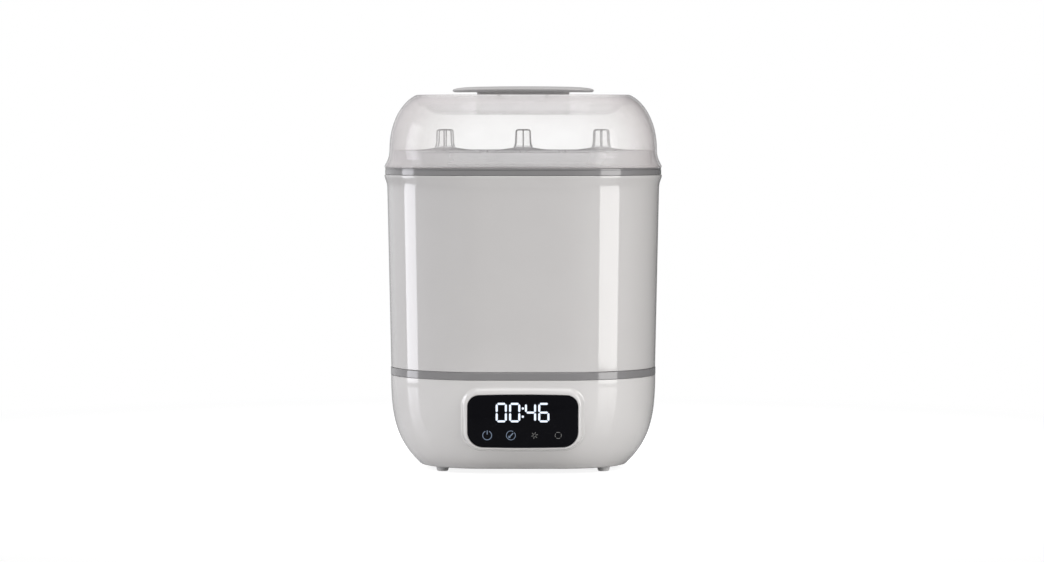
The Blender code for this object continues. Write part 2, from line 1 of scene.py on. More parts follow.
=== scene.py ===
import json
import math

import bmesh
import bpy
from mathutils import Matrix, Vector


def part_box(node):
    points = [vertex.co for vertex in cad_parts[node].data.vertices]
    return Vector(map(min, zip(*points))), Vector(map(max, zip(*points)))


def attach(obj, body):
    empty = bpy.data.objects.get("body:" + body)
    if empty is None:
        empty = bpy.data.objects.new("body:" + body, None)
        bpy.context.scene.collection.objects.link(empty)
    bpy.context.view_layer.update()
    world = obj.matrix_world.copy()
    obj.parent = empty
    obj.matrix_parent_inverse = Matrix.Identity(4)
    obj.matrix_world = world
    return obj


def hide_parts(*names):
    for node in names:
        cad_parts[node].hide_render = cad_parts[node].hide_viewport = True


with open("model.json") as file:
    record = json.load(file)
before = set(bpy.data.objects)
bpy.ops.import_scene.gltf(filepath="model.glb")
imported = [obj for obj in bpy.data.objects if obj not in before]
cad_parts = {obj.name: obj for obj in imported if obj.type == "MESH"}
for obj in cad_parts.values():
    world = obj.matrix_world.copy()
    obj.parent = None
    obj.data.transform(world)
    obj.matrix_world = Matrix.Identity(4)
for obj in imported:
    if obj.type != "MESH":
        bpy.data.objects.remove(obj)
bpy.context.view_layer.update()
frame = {"nodes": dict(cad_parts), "record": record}

# Looks of the bottle steriliser: fine shells, frosted lid and tray, glossy display.
#
# Lengths in the builders below are millimetres in the model's own frame (front -Y, +Z up)
# and become metres where a mesh is made. The body is a racetrack in plan: two straight
# sides joined by half circles, so a section of (end radius, height) points, swept round
# it, makes each shell.

MM = 0.001

# Driving sizes, read from the frame where it holds them


def span(node, axis):
    """A node's lowest and highest coordinate on one axis, in millimetres."""
    low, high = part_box(node)
    return low[axis] / MM, high[axis] / MM


X, Y, Z = 0, 1, 2
STRAIGHT = 38.0
BODY_R = span("base_housing", Y)[1]
BASE_LOW, BASE_TOP = span("base_housing", Z)
BAND_R = span("lower_trim_ring", Y)[1]
BAND_LOW, BAND_TOP = span("lower_trim_ring", Z)
CHAMBER_R = span("chamber_shell", Y)[1]
CHAMBER_LOW, CHAMBER_TOP = span("chamber_shell", Z)
RIM_R = span("upper_trim_ring", Y)[1]
RIM_SKIRT, RIM_TOP = span("upper_trim_ring", Z)
LID_R = span("lid_shell", Y)[1]
LID_LOW, LID_TOP = span("lid_shell", Z)
TRAY_LOW, PEG_TOP = span("accessory_tray", Z)
RACK_LOW = span("bottle_rack", Z)[0]
RACK_R = span("bottle_rack", Y)[1]
PAN_X = sum(span("water_pan", X)) / 2
OUTLET_X = sum(span("air_outlet_cap", X)) / 2
PLATE_R = span("lid_handle", Y)[1]
HANDLE_LOW, HANDLE_TOP = span("lid_handle", Z)
FACE_Y = span("display_bezel", Y)[0]
LENS_LOW, LENS_HIGH = span("display_lens", Z)
LENS_Z = (LENS_LOW + LENS_HIGH) / 2 + 0.1
FILTER_X = sum(span("filter_cover", X)) / 2
FILTER_Z = sum(span("filter_cover", Z)) / 2
INLET_X = sum(span("power_inlet", X)) / 2
INLET_Z = sum(span("power_inlet", Z)) / 2

WALL = 2.8
LID_WALL = 2.2
GAP = 0.3
BASIN_FLOOR = 356.1
TRAY_DECK = 318.5
DECK_LOW, DECK_TOP = 93.2, 95.7
RACK_TAB_X = 121.0
PEG_PITCH, PEG_ROW = 78.0, 38.0
KEY_PITCH, KEY_Z = 23.1, 41.1

# The display frame and its window: width, height, and corner radii at top and bottom
BEZEL_WIDTH, BEZEL_HEIGHT, BEZEL_Z = 118.8, 62, 55.9
BEZEL_R_TOP, BEZEL_R_BOTTOM = 16, 19
LENS_WIDTH, LENS_HEIGHT = 108, 51.8
LENS_R_TOP, LENS_R_BOTTOM = 11, 15
EDGE_BOW = 1.0
DISPLAY_BACK_Y = -74

# The rack's pegs and lifting tabs
RACK_RIM_TOP = 148
RACK_PEG_TOP = 172
RACK_TAB_SIZE = (2.4, 34, 92)
RACK_TAB_Z, RACK_GRIP_Z = 166, 200


# Mesh builders

def to_object(bm, name, mat=None, smooth=30.0):
    """A bmesh in millimetres becomes an object in metres."""
    bmesh.ops.scale(bm, vec=(MM, MM, MM), verts=bm.verts)
    mesh = bpy.data.meshes.new(name)
    bm.to_mesh(mesh)
    bm.free()
    mesh.shade_smooth()
    mesh.set_sharp_from_angle(angle=math.radians(smooth))
    ob = bpy.data.objects.new(name, mesh)
    bpy.context.scene.collection.objects.link(ob)
    if mat:
        mesh.materials.append(mat)
    return ob


def track_points(radius, arc_steps, straight_steps):
    """Points round the racetrack of one end radius, from the middle of the front."""
    points = []
    half = straight_steps // 2
    for i in range(half):
        points.append((STRAIGHT * i / half, -radius))
    for i in range(arc_steps):
        a = math.pi * (i / arc_steps - 0.5)
        points.append((STRAIGHT + radius * math.cos(a), radius * math.sin(a)))
    for i in range(2 * half):
        points.append((STRAIGHT * (1 - i / half), radius))
    for i in range(arc_steps):
        a = math.pi * (i / arc_steps + 0.5)
        points.append((-STRAIGHT + radius * math.cos(a), radius * math.sin(a)))
    for i in range(half):
        points.append((-STRAIGHT * (1 - i / half), -radius))
    return points


def track_sweep(section, closed=False, arc_steps=48, straight_steps=8):
    """Sweeps a section round the racetrack. An open one starts and ends at radius 0."""
    bm = bmesh.new()
    rows = []
    for radius, z in section:
        rows.append([bm.verts.new((x, y, z))
                     for x, y in track_points(radius, arc_steps, straight_steps)])
    count = len(rows[0])
    for row, following in zip(rows, rows[1:] + (rows[:1] if closed else [])):
        for i in range(count):
            j = (i + 1) % count
            bm.faces.new((row[i], row[j], following[j], following[i]))
    bmesh.ops.remove_doubles(bm, verts=bm.verts, dist=1e-3)
    bmesh.ops.recalc_face_normals(bm, faces=bm.faces)
    return bm


def turned_mesh(section, centre=(0, 0, 0), steps=48, turn=None):
    """Turns a section of (radius, height) about an upright axis, then places it."""
    bm = bmesh.new()
    rows = []
    for radius, z in section:
        rows.append([bm.verts.new((radius * math.cos(2 * math.pi * i / steps),
                                   radius * math.sin(2 * math.pi * i / steps), z))
                     for i in range(steps)])
    for row, following in zip(rows, rows[1:]):
        for i in range(steps):
            j = (i + 1) % steps
            bm.faces.new((row[i], row[j], following[j], following[i]))
    bmesh.ops.remove_doubles(bm, verts=bm.verts, dist=1e-4)
    bmesh.ops.recalc_face_normals(bm, faces=bm.faces)
    if turn:
        bmesh.ops.transform(bm, matrix=turn, verts=bm.verts)
    bmesh.ops.translate(bm, verts=bm.verts, vec=centre)
    return bm


def loft_mesh(rings, closed=False):
    """Joins rings of equal point counts; closed joins the last to the first."""
    bm = bmesh.new()
    rows = [[bm.verts.new(point) for point in ring] for ring in rings]
    count = len(rows[0])
    for row, following in zip(rows, rows[1:] + (rows[:1] if closed else [])):
        for i in range(count):
            j = (i + 1) % count
            bm.faces.new((row[i], row[j], following[j], following[i]))
    if not closed:
        bm.faces.new(rows[0])
        bm.faces.new(rows[-1])
    bmesh.ops.recalc_face_normals(bm, faces=bm.faces)
    return bm


def rounded_block(size, centre, radius, axis=Z, steps=6):
    """A block whose corners along one axis are round."""
    others = [a for a in (X, Y, Z) if a != axis]
    half = [s / 2 for s in size]
    r = min(radius, half[others[0]] - 1e-3, half[others[1]] - 1e-3)
    rings = []
    for end in (-1, 1):
        ring = []
        for quarter in range(4):
            sx = 1 if quarter in (0, 3) else -1
            sy = 1 if quarter < 2 else -1
            for i in range(steps + 1):
                a = math.radians(90 * (quarter + i / steps))
                point = [0.0, 0.0, 0.0]
                point[others[0]] = sx * (half[others[0]] - r) + r * math.cos(a)
                point[others[1]] = sy * (half[others[1]] - r) + r * math.sin(a)
                point[axis] = end * half[axis]
                ring.append([p + c for p, c in zip(point, centre)])
        rings.append(ring)
    return loft_mesh(rings)


def soften(ob, width=0.4, segments=3, angle=32):
    """Rounds a piece's hard edges."""
    step = ob.modifiers.new("edge_rounding", "BEVEL")
    step.width = width * MM
    step.segments = segments
    step.limit_method = "ANGLE"
    step.angle_limit = math.radians(angle)
    step.harden_normals = True
    return ob


def merged(meshes):
    """Puts several bmeshes into one."""
    whole = bmesh.new()
    for bm in meshes:
        part = bpy.data.meshes.new("part")
        bm.to_mesh(part)
        bm.free()
        whole.from_mesh(part)
        bpy.data.meshes.remove(part)
    return whole


def boolean(ob, meshes, operation="DIFFERENCE"):
    """Cuts or joins bmeshes with an object and keeps the result as its mesh."""
    tool = to_object(merged(meshes), ob.name + "_tool")
    step = ob.modifiers.new("boolean", "BOOLEAN")
    step.operation = operation
    step.solver = "EXACT"
    step.object = tool
    bpy.context.view_layer.update()
    depsgraph = bpy.context.evaluated_depsgraph_get()
    result = bpy.data.meshes.new_from_object(ob.evaluated_get(depsgraph))
    ob.modifiers.clear()
    ob.data = result
    bpy.data.objects.remove(tool)
    result.shade_smooth()
    result.set_sharp_from_angle(angle=math.radians(30))


def arc(centre, radius, start, end, steps):
    """Points along an arc, with angles in degrees; radius may be a pair of half axes."""
    rx, ry = radius if isinstance(radius, tuple) else (radius, radius)
    for step in range(steps + 1):
        a = math.radians(start + (end - start) * step / steps)
        yield centre[0] + rx * math.cos(a), centre[1] + ry * math.sin(a)


def place(ob, body, nodes=()):
    """Rides a piece on its body and hides the CAD nodes it stands for."""
    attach(ob, body)
    if nodes:
        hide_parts(*nodes)
    return ob


# Materials

def new_material(name):
    mat = bpy.data.materials.new(name)
    mat.use_nodes = True
    bsdf = mat.node_tree.nodes["Principled BSDF"]
    return mat, mat.node_tree, bsdf


def noise(tree, scale, detail=2.0, roughness=0.5):
    """Noise over the object's own coordinates, with the scale in cells per metre."""
    coords = tree.nodes.new("ShaderNodeTexCoord")
    node = tree.nodes.new("ShaderNodeTexNoise")
    node.inputs["Scale"].default_value = scale
    node.inputs["Detail"].default_value = detail
    node.inputs["Roughness"].default_value = roughness
    tree.links.new(coords.outputs["Object"], node.inputs["Vector"])
    return node.outputs["Fac"]


def spread(tree, value, low, high):
    """Maps 0..1 noise, which mostly lies near its middle, to a range."""
    node = tree.nodes.new("ShaderNodeMapRange")
    node.inputs["From Min"].default_value = 0.3
    node.inputs["From Max"].default_value = 0.7
    node.inputs["To Min"].default_value = low
    node.inputs["To Max"].default_value = high
    tree.links.new(value, node.inputs["Value"])
    return node.outputs["Result"]


def blend_colours(tree, factor, first, second):
    node = tree.nodes.new("ShaderNodeMix")
    node.data_type = "RGBA"
    node.inputs["A"].default_value = (*first, 1)
    node.inputs["B"].default_value = (*second, 1)
    tree.links.new(factor, node.inputs["Factor"])
    return node.outputs["Result"]


def add_bump(tree, bsdf, height, strength, distance):
    node = tree.nodes.new("ShaderNodeBump")
    node.inputs["Strength"].default_value = strength
    node.inputs["Distance"].default_value = distance
    tree.links.new(height, node.inputs["Height"])
    tree.links.new(node.outputs["Normal"], bsdf.inputs["Normal"])


def moulded(name, colour, rough, grain_scale, grain, mottling=0.03, coat=0.0):
    """Moulded plastic: faint mottling, uneven gloss and a surface grain."""
    mat, tree, bsdf = new_material(name)
    darker = tuple(c * (1 - mottling) for c in colour)
    patches = spread(tree, noise(tree, 28, 3), 0, 1)
    tree.links.new(blend_colours(tree, patches, colour, darker), bsdf.inputs["Base Color"])
    gloss = spread(tree, noise(tree, 90, 4), rough[0], rough[1])
    tree.links.new(gloss, bsdf.inputs["Roughness"])
    add_bump(tree, bsdf, noise(tree, grain_scale, 3), grain, 0.0002)
    bsdf.inputs["Coat Weight"].default_value = coat
    bsdf.inputs["Coat Roughness"].default_value = 0.05
    return mat


def frosted(name, colour, painted_edge_shade, clear, dense, rough=(0.16, 0.28)):
    """Milky see-through plastic, denser where the eye skims along the wall; there its colour also
    darkens, painted shade for the dark edges that refraction gives.
    """
    mat, tree, bsdf = new_material(name)
    skim = tree.nodes.new("ShaderNodeLayerWeight")
    skim.inputs["Blend"].default_value = 0.35
    # Painted shade: the colour turns darker where the eye skims the wall, standing in for the dark
    # edges refraction gives.
    tree.links.new(
        blend_colours(tree, skim.outputs["Facing"], colour, painted_edge_shade),
        bsdf.inputs["Base Color"])
    cloud = spread(tree, noise(tree, 22, 3), -0.02, 0.02)
    solid = tree.nodes.new("ShaderNodeMapRange")
    solid.inputs["To Min"].default_value = clear
    solid.inputs["To Max"].default_value = dense
    tree.links.new(skim.outputs["Facing"], solid.inputs["Value"])
    total = tree.nodes.new("ShaderNodeMath")
    total.operation = "ADD"
    total.use_clamp = True
    tree.links.new(solid.outputs["Result"], total.inputs[0])
    tree.links.new(cloud, total.inputs[1])
    tree.links.new(total.outputs[0], bsdf.inputs["Alpha"])
    tree.links.new(spread(tree, noise(tree, 120, 3), *rough), bsdf.inputs["Roughness"])
    bsdf.inputs["Coat Weight"].default_value = 1.0
    bsdf.inputs["Coat Roughness"].default_value = 0.08
    add_bump(tree, bsdf, noise(tree, 900, 2), 0.05, 0.0002)
    return mat


def brushed(name, colour, rough, stretch):
    """Drawn or brushed metal with fine streaks across one axis."""
    mat, tree, bsdf = new_material(name)
    bsdf.inputs["Metallic"].default_value = 1.0
    coords = tree.nodes.new("ShaderNodeTexCoord")
    scaling = tree.nodes.new("ShaderNodeMapping")
    scaling.inputs["Scale"].default_value = stretch
    streaks = tree.nodes.new("ShaderNodeTexNoise")
    streaks.inputs["Scale"].default_value = 60
    streaks.inputs["Detail"].default_value = 4
    tree.links.new(coords.outputs["Object"], scaling.inputs["Vector"])
    tree.links.new(scaling.outputs["Vector"], streaks.inputs["Vector"])
    shade = spread(tree, streaks.outputs["Fac"], 0, 1)
    darker = tuple(c * 0.86 for c in colour)
    tree.links.new(blend_colours(tree, shade, colour, darker), bsdf.inputs["Base Color"])
    tree.links.new(spread(tree, streaks.outputs["Fac"], *rough), bsdf.inputs["Roughness"])
    add_bump(tree, bsdf, streaks.outputs["Fac"], 0.015, 0.0002)
    return mat


def glowing(name, colour, strength):
    """A lit mark behind the display window, a little uneven like a real light guide."""
    mat, tree, bsdf = new_material(name)
    bsdf.inputs["Base Color"].default_value = (0.02, 0.02, 0.02, 1)
    bsdf.inputs["Roughness"].default_value = 0.4
    dimmer = tuple(c * 0.9 for c in colour)
    uneven = spread(tree, noise(tree, 260, 2), 0, 1)
    tree.links.new(blend_colours(tree, uneven, colour, dimmer), bsdf.inputs["Emission Color"])
    bsdf.inputs["Emission Strength"].default_value = strength
    return mat


def foam_material():
    mat, tree, bsdf = new_material("filter_foam")
    cells = tree.nodes.new("ShaderNodeTexVoronoi")
    coords = tree.nodes.new("ShaderNodeTexCoord")
    cells.inputs["Scale"].default_value = 900
    tree.links.new(coords.outputs["Object"], cells.inputs["Vector"])
    tree.links.new(blend_colours(tree, cells.outputs["Distance"], (0.06, 0.065, 0.07),
                                 (0.30, 0.31, 0.33)), bsdf.inputs["Base Color"])
    bsdf.inputs["Roughness"].default_value = 0.95
    add_bump(tree, bsdf, cells.outputs["Distance"], 0.8, 0.001)
    return mat


SHELL = moulded("off_white_satin_gloss", (0.69, 0.675, 0.66), (0.06, 0.10), 60, 0.015, 0.015, 1.0)
BODY = moulded("off_white_gloss", (0.615, 0.60, 0.588), (0.04, 0.07), 60, 0.012, 0.015, 1.0)
INNER = moulded("off_white_satin", (0.76, 0.745, 0.725), (0.28, 0.40), 1400, 0.10)
TRIM = moulded("grey_trim", (0.225, 0.22, 0.22), (0.08, 0.14), 1300, 0.03, 0.03, 1.0)
HANDLE = moulded("grey_handle", (0.51, 0.50, 0.495), (0.30, 0.42), 1500, 0.10)
WINDOW = moulded("display_black", (0.003, 0.003, 0.0045), (0.03, 0.06), 40, 0.01, 0.1)
WINDOW.node_tree.nodes["Principled BSDF"].inputs["Specular IOR Level"].default_value = 0.06
RUBBER = moulded("foot_rubber", (0.92, 0.91, 0.90), (0.3, 0.4), 900, 0.2)
SEAL = moulded("silicone_seal", (0.58, 0.575, 0.57), (0.42, 0.52), 700, 0.1)
DARK = moulded("dark_plastic", (0.035, 0.035, 0.038), (0.4, 0.55), 1200, 0.15)
BOARD = moulded("circuit_board", (0.015, 0.11, 0.045), (0.3, 0.45), 500, 0.2, 0.25)
# The second colour of each frosted material is painted shade, for its edges seen at a skim.
LID = frosted("frosted_lid", (0.96, 0.91, 0.88), (0.48, 0.44, 0.45), 0.04, 0.72,
              (0.10, 0.18))
BASIN = frosted("frosted_basin", (0.93, 0.915, 0.93), (0.80, 0.785, 0.80), 0.085, 0.26,
                (0.3, 0.4))
TRAY = frosted("frosted_tray", (0.95, 0.94, 0.945), (0.60, 0.59, 0.60), 0.24, 0.85)
PEG = frosted("frosted_pegs", (0.94, 0.93, 0.93), (0.70, 0.69, 0.70), 0.03, 0.35)
# Dark rims along the pegs' edges: painted shade for the dark lines the clear pegs show there.
PEG_RIM_SHADE = frosted("frosted_peg_rims_painted_shade", (0.34, 0.33, 0.34), (0.12, 0.115, 0.12), 0.40, 1.0)
RACK = frosted("frosted_rack", (0.93, 0.925, 0.93), (0.62, 0.61, 0.62), 0.50, 0.95)
STEEL = brushed("stainless_steel", (0.62, 0.61, 0.60), (0.18, 0.34), (1, 14, 1))
COPPER = brushed("copper_alloy", (0.72, 0.47, 0.24), (0.25, 0.4), (1, 6, 1))
FOAM = foam_material()
DIGIT = glowing("lit_digits", (0.80, 0.88, 1.0), 1.25)
KEY = glowing("lit_keys", (0.45, 0.60, 0.85), 0.34)
KEY_DIM = glowing("dim_keys", (0.75, 0.75, 0.72), 0.22)


# Base

def base_r(z):
    """End radius of the base's wall: upright at the band, curving in towards the foot."""
    t = BASE_TOP + 0.6 - z
    return BODY_R - 1.196e-3 * t ** 2 - 3.121e-7 * t ** 4


def steps_between(low, high, count):
    return [low + (high - low) * i / count for i in range(count + 1)]


def panel_outline(width, height, z_mid, r_top, r_bottom, steps=14):
    """A panel's outline as (x, z): bowed edges, with smaller corners at the top."""
    half_w, half_h = width / 2, height / 2
    corners = [
        (half_w - r_bottom, r_bottom - half_h, r_bottom, -90, 4),
        (half_w - r_top, half_h - r_top, r_top, 0, 18),
        (r_top - half_w, half_h - r_top, r_top, 90, 4),
        (r_bottom - half_w, r_bottom - half_h, r_bottom, 180, 18),
    ]
    arcs = [list(arc((cx, cz), radius, start, start + 90, steps))
            for cx, cz, radius, start, _ in corners]
    points = []
    for (*_, pieces), corner, following in zip(corners, arcs, arcs[1:] + arcs[:1]):
        (x0, z0), (x1, z1) = corner[-1], following[0]
        points += corner
        points += [(x0 + (x1 - x0) * i / pieces, z0 + (z1 - z0) * i / pieces)
                   for i in range(1, pieces)]
    bowed = []
    for x, z in points:
        inset = EDGE_BOW * (x / half_w) ** 2
        bowed.append((x, z_mid + z - inset * z / half_h))
    return bowed


def panel_ring(width, height, z_mid, r_top, r_bottom, y):
    return [(x, y, z) for x, z in panel_outline(width, height, z_mid, r_top, r_bottom)]


def skin(x, z):
    """Y of the base's front surface."""
    return -math.sqrt(base_r(z) ** 2 - max(0, abs(x) - STRAIGHT) ** 2)


def frame_ring(width, share, lift=0):
    """A ring of the display frame: share 0 lies on the base's skin, 1 on the face."""
    grown = (width - LENS_WIDTH) / 10.8
    outline = panel_outline(width, LENS_HEIGHT + 10.2 * grown,
                            LENS_Z + (BEZEL_Z - LENS_Z) * grown,
                            LENS_R_TOP + 5 * grown, LENS_R_BOTTOM + 4 * grown)
    return [(x, skin(x, z) * (1 - share) + FACE_Y * share - lift, z) for x, z in outline]


def build_base():
    side = [(base_r(z), z) for z in steps_between(BASE_TOP, 7.2, 34)]
    heel = base_r(7.2)
    under = [(heel - 0.9, 6.1), (heel - 1.9, 5.4), (heel - 3.0, BASE_LOW), (60.3, BASE_LOW)]
    ledge = [(60.3, 8.2), (56.5, 8.2), (56.5, 10.7)]
    inner = [(base_r(z) - WALL, z) for z in steps_between(12, 90, 18)]
    rebate = [(BODY_R - WALL, 92.9), (BODY_R - 1.6, 92.9), (BODY_R - 1.6, BASE_TOP)]
    body = to_object(track_sweep(side + under + ledge + inner + rebate, True), "base_body", SHELL)
    mouth = loft_mesh([panel_ring(BEZEL_WIDTH + 2 * GAP, BEZEL_HEIGHT + 2 * GAP, BEZEL_Z,
                                  BEZEL_R_TOP, BEZEL_R_BOTTOM, y) for y in (-110, -60)])
    rear = rounded_block((46, 40, 31), (FILTER_X, 95, FILTER_Z), 2.0, Y)
    inlet = rounded_block((22 + 2 * GAP, 40, 15 + 2 * GAP), (INLET_X, 95, INLET_Z), 1.5, Y)
    boolean(body, [mouth, rear, inlet])
    place(body, "base", ["base_housing"])

    section = [(0, 7.9), (60, 7.9), (60, 5.4), (0, 5.4)]
    plate = to_object(track_sweep(section), "bottom_cover", TRIM)
    posts = [(sx * 52, sy * 46) for sx in (1, -1) for sy in (1, -1)]
    bores = [turned_mesh([(0, 12), (1.9, 12), (1.9, 7), (3.6, 7), (3.6, 4), (0, 4)], (x, y, 0), 24)
             for x, y in posts]
    vents = [rounded_block((30, 2.2, 8), (64, -15 + 5 * i, 6.6), 1.1) for i in range(7)]
    boolean(plate, bores + vents)
    soften(plate, 0.3, 2)
    place(plate, "base", ["bottom_plate"])
    names = {(-1, -1): "front_left", (1, -1): "front_right", (-1, 1): "rear_left",
             (1, 1): "rear_right"}
    for (sx, sy), where in names.items():
        section = [(0, 9.5), (3, 9.5), (3, 5.1), (6.1, 5.1), (6.55, 4.7), (6.35, 3.6),
                   (5.6, 0.9), (5.2, 0.25), (4.7, 0), (3.4, 0), (3.0, 0.5), (0, 0.5)]
        foot = to_object(turned_mesh(section, (sx * 80, sy * 30, 0), 40), f"foot_pad_{where}",
                         RUBBER)
        place(foot, "base", [f"foot_{where}"])


def build_trim():
    lower = [(BAND_R - 0.35, BAND_LOW), (BAND_R, BAND_LOW + 0.35), (BAND_R, BAND_TOP - 0.35),
             (BAND_R - 0.35, BAND_TOP), (89.9, BAND_TOP), (89.9, 96.0), (92.6, 96.0),
             (92.6, BAND_LOW)]
    place(to_object(track_sweep(lower, True), "lower_band", TRIM), "base", ["lower_trim_ring"])
    groove, low = RIM_TOP - 1.3, CHAMBER_TOP + GAP
    upper = [
        (RIM_R - 0.3, low), (RIM_R, low + 0.3), (RIM_R, groove - 0.6), (RIM_R - 0.25, groove - 0.45),
        (RIM_R - 0.7, groove - 0.4), (RIM_R - 0.7, groove + 0.1), (RIM_R - 0.25, groove + 0.15),
        (RIM_R, groove + 0.3), (RIM_R, RIM_TOP - 0.3), (RIM_R - 0.3, RIM_TOP), (93.7, RIM_TOP),
        (93.3, RIM_TOP - 0.4), (93.3, RIM_SKIRT + 0.4), (93.7, RIM_SKIRT), (95.2, RIM_SKIRT),
        (95.6, RIM_SKIRT + 0.4), (95.6, low),
    ]
    place(to_object(track_sweep(upper, True), "upper_band", TRIM), "chamber",
          ["upper_trim_ring"])


def build_display():
    ledge = FACE_Y + 1.8
    rings = [
        panel_ring(BEZEL_WIDTH, BEZEL_HEIGHT, BEZEL_Z, BEZEL_R_TOP, BEZEL_R_BOTTOM,
                   DISPLAY_BACK_Y),
        frame_ring(BEZEL_WIDTH, 0, -1),
        frame_ring(119.2, 0),
        frame_ring(121.6, 0),
        frame_ring(121.4, 0, 0.05),
        frame_ring(120.6, 0.03, 0.05),
        frame_ring(119.4, 0.11),
        frame_ring(118.2, 0.26),
        frame_ring(117.0, 0.46),
        frame_ring(115.8, 0.64),
        frame_ring(114.6, 0.78),
        frame_ring(113.2, 0.89),
        frame_ring(111.8, 0.96),
        frame_ring(110.6, 0.99),
        frame_ring(109.8, 1),
        frame_ring(109.3, 1),
        panel_ring(108.8, 52.7, LENS_Z, 11.4, 15.4, FACE_Y + 0.2),
        panel_ring(108.6, 52.4, LENS_Z, 11.3, 15.3, FACE_Y + 0.6),
        panel_ring(108.6, 52.4, LENS_Z, 11.3, 15.3, ledge),
        panel_ring(101, 45, LENS_Z, 9, 12, ledge),
        panel_ring(101, 45, LENS_Z, 9, 12, DISPLAY_BACK_Y),
    ]
    bezel = to_object(loft_mesh(rings, True), "display_frame", SHELL, 40)
    place(bezel, "base", ["display_bezel"])
    front = FACE_Y + 0.1
    window = [
        panel_ring(107.2, 51.0, LENS_Z, 10.6, 14.6, front),
        panel_ring(107.7, 51.5, LENS_Z, 10.85, 14.85, front + 0.1),
        panel_ring(LENS_WIDTH, LENS_HEIGHT, LENS_Z, LENS_R_TOP, LENS_R_BOTTOM, front + 0.4),
        panel_ring(LENS_WIDTH, LENS_HEIGHT, LENS_Z, LENS_R_TOP, LENS_R_BOTTOM, ledge - GAP),
    ]
    lens = to_object(loft_mesh(window), "display_window", WINDOW)
    place(lens, "base", ["display_lens"])


# Lit marks on the display, each a thin solid on the window's face

MARK_BACK = FACE_Y + 0.12
MARK_FRONT = FACE_Y + 0.04


def mark(outline):
    """A thin prism over an outline of (x, z) points."""
    return loft_mesh([[(x, y, z) for x, z in outline] for y in (MARK_BACK, MARK_FRONT)])


def bar(x0, z0, x1, z1, width, point=0.5):
    """One display segment: a bar with pointed ends."""
    along = Vector((x1 - x0, z1 - z0)).normalized()
    across = Vector((-along.y, along.x)) * width / 2
    a, b = Vector((x0, z0)), Vector((x1, z1))
    tip = along * width * point
    return [a + tip + across, b - tip + across, b, b - tip - across, a + tip - across, a]


SEGMENTS = {"0": "abcdef", "4": "bcfg", "6": "acdefg"}


def digit(character, x, z, width, height, thick):
    """The lit segments of a seven-segment figure centred on (x, z)."""
    w, h, g = width / 2 - thick / 2, height / 2 - thick / 2, 0.35
    ends = {
        "a": (-w + g, h, w - g, h), "d": (-w + g, -h, w - g, -h), "g": (-w + g, 0, w - g, 0),
        "f": (-w, g, -w, h - g), "b": (w, g, w, h - g),
        "e": (-w, -h + g, -w, -g), "c": (w, -h + g, w, -g),
    }
    return [mark(bar(x + x0, z + z0, x + x1, z + z1, thick))
            for x0, z0, x1, z1 in (ends[s] for s in SEGMENTS[character])]


def ring_mark(x, z, radius, thick, start, end, steps=28):
    outer = list(arc((x, z), radius, start, end, steps))
    inner = list(arc((x, z), radius - thick, end, start, steps))
    return mark(outer + inner)


def build_marks():
    z, height, width, thick = 63.4, 19.1, 10.9, 2.0
    figures = []
    for character, x in (("0", -20.9), ("0", -7.8), ("4", 7.6), ("6", 20.6)):
        figures += digit(character, x, z, width, height, thick)
    for dz in (-4.0, 4.0):
        figures.append(mark(list(arc((0.1, z + dz), 1.15, 0, 345, 23))))
    place(to_object(merged(figures), "timer_digits", DIGIT), "base")

    left, next_left, next_right, right = (KEY_PITCH * (i - 1.5) for i in range(4))
    power = [ring_mark(left, KEY_Z, 4.7, 0.7, 115, 425),
             mark(bar(left, KEY_Z + 0.6, left, KEY_Z + 5.0, 0.8))]
    place(to_object(merged(power), "key_power", KEY), "base")
    dry = [ring_mark(next_left, KEY_Z, 4.7, 0.6, 60, 400),
           mark(bar(next_left - 2.4, KEY_Z - 2.6, next_left + 2.4, KEY_Z + 2.4, 1.0)),
           mark(bar(next_left - 2.6, KEY_Z - 0.4, next_left - 0.4, KEY_Z - 2.6, 0.7))]
    place(to_object(merged(dry), "key_bottle", KEY), "base")
    rays = []
    for i in range(6):
        a = math.pi * i / 3 + 0.26
        c, s = math.cos(a), math.sin(a)
        rays.append(mark(bar(next_right + 0.9 * c, KEY_Z + 0.9 * s, next_right + 3.4 * c,
                             KEY_Z + 3.4 * s, 0.55)))
    place(to_object(merged(rays), "key_dry", KEY_DIM), "base")
    drop = [ring_mark(right, KEY_Z, 3.4, 0.5, -35 + 90 * i, 35 + 90 * i, 2) for i in range(4)]
    place(to_object(merged(drop), "key_auto", KEY_DIM), "base")


# Chamber, tray and lid

def build_chamber():
    top = CHAMBER_TOP
    rise = (97.7 - 94.1) / (top - 15 - CHAMBER_LOW)
    side = [(94.1, CHAMBER_LOW + 0.4)]
    side += [(94.1 + rise * (z - CHAMBER_LOW), z)
             for z in steps_between(CHAMBER_LOW + 8, top - 17, 12)]
    flare = [(97.78, top - 13), (97.95, top - 11), (98.25, top - 9), (98.75, top - 7),
             (99.45, top - 5), (99.95, top - 3.6), (100.3, top - 2.4), (CHAMBER_R, top - 1.3),
             (CHAMBER_R, top - 0.5), (CHAMBER_R - 0.35, top - 0.1), (CHAMBER_R - 0.7, top)]
    seat = [(96.4, top), (96.0, top - 0.4), (96.0, top - 9.5), (94.9, top - 10.5)]
    ledge = [(91.6, 118.4), (91.2, 118), (87.3, 118), (87, 117.7), (87, 115.8), (87.3, 115.5),
             (91.3, 115.1)]
    foot = [(91.3, CHAMBER_LOW + 0.3), (91.6, CHAMBER_LOW), (93.7, CHAMBER_LOW)]
    body = to_object(track_sweep(side + flare + seat + ledge + foot, True, 56), "chamber_body",
                     BODY)
    place(body, "chamber", ["chamber_shell"])


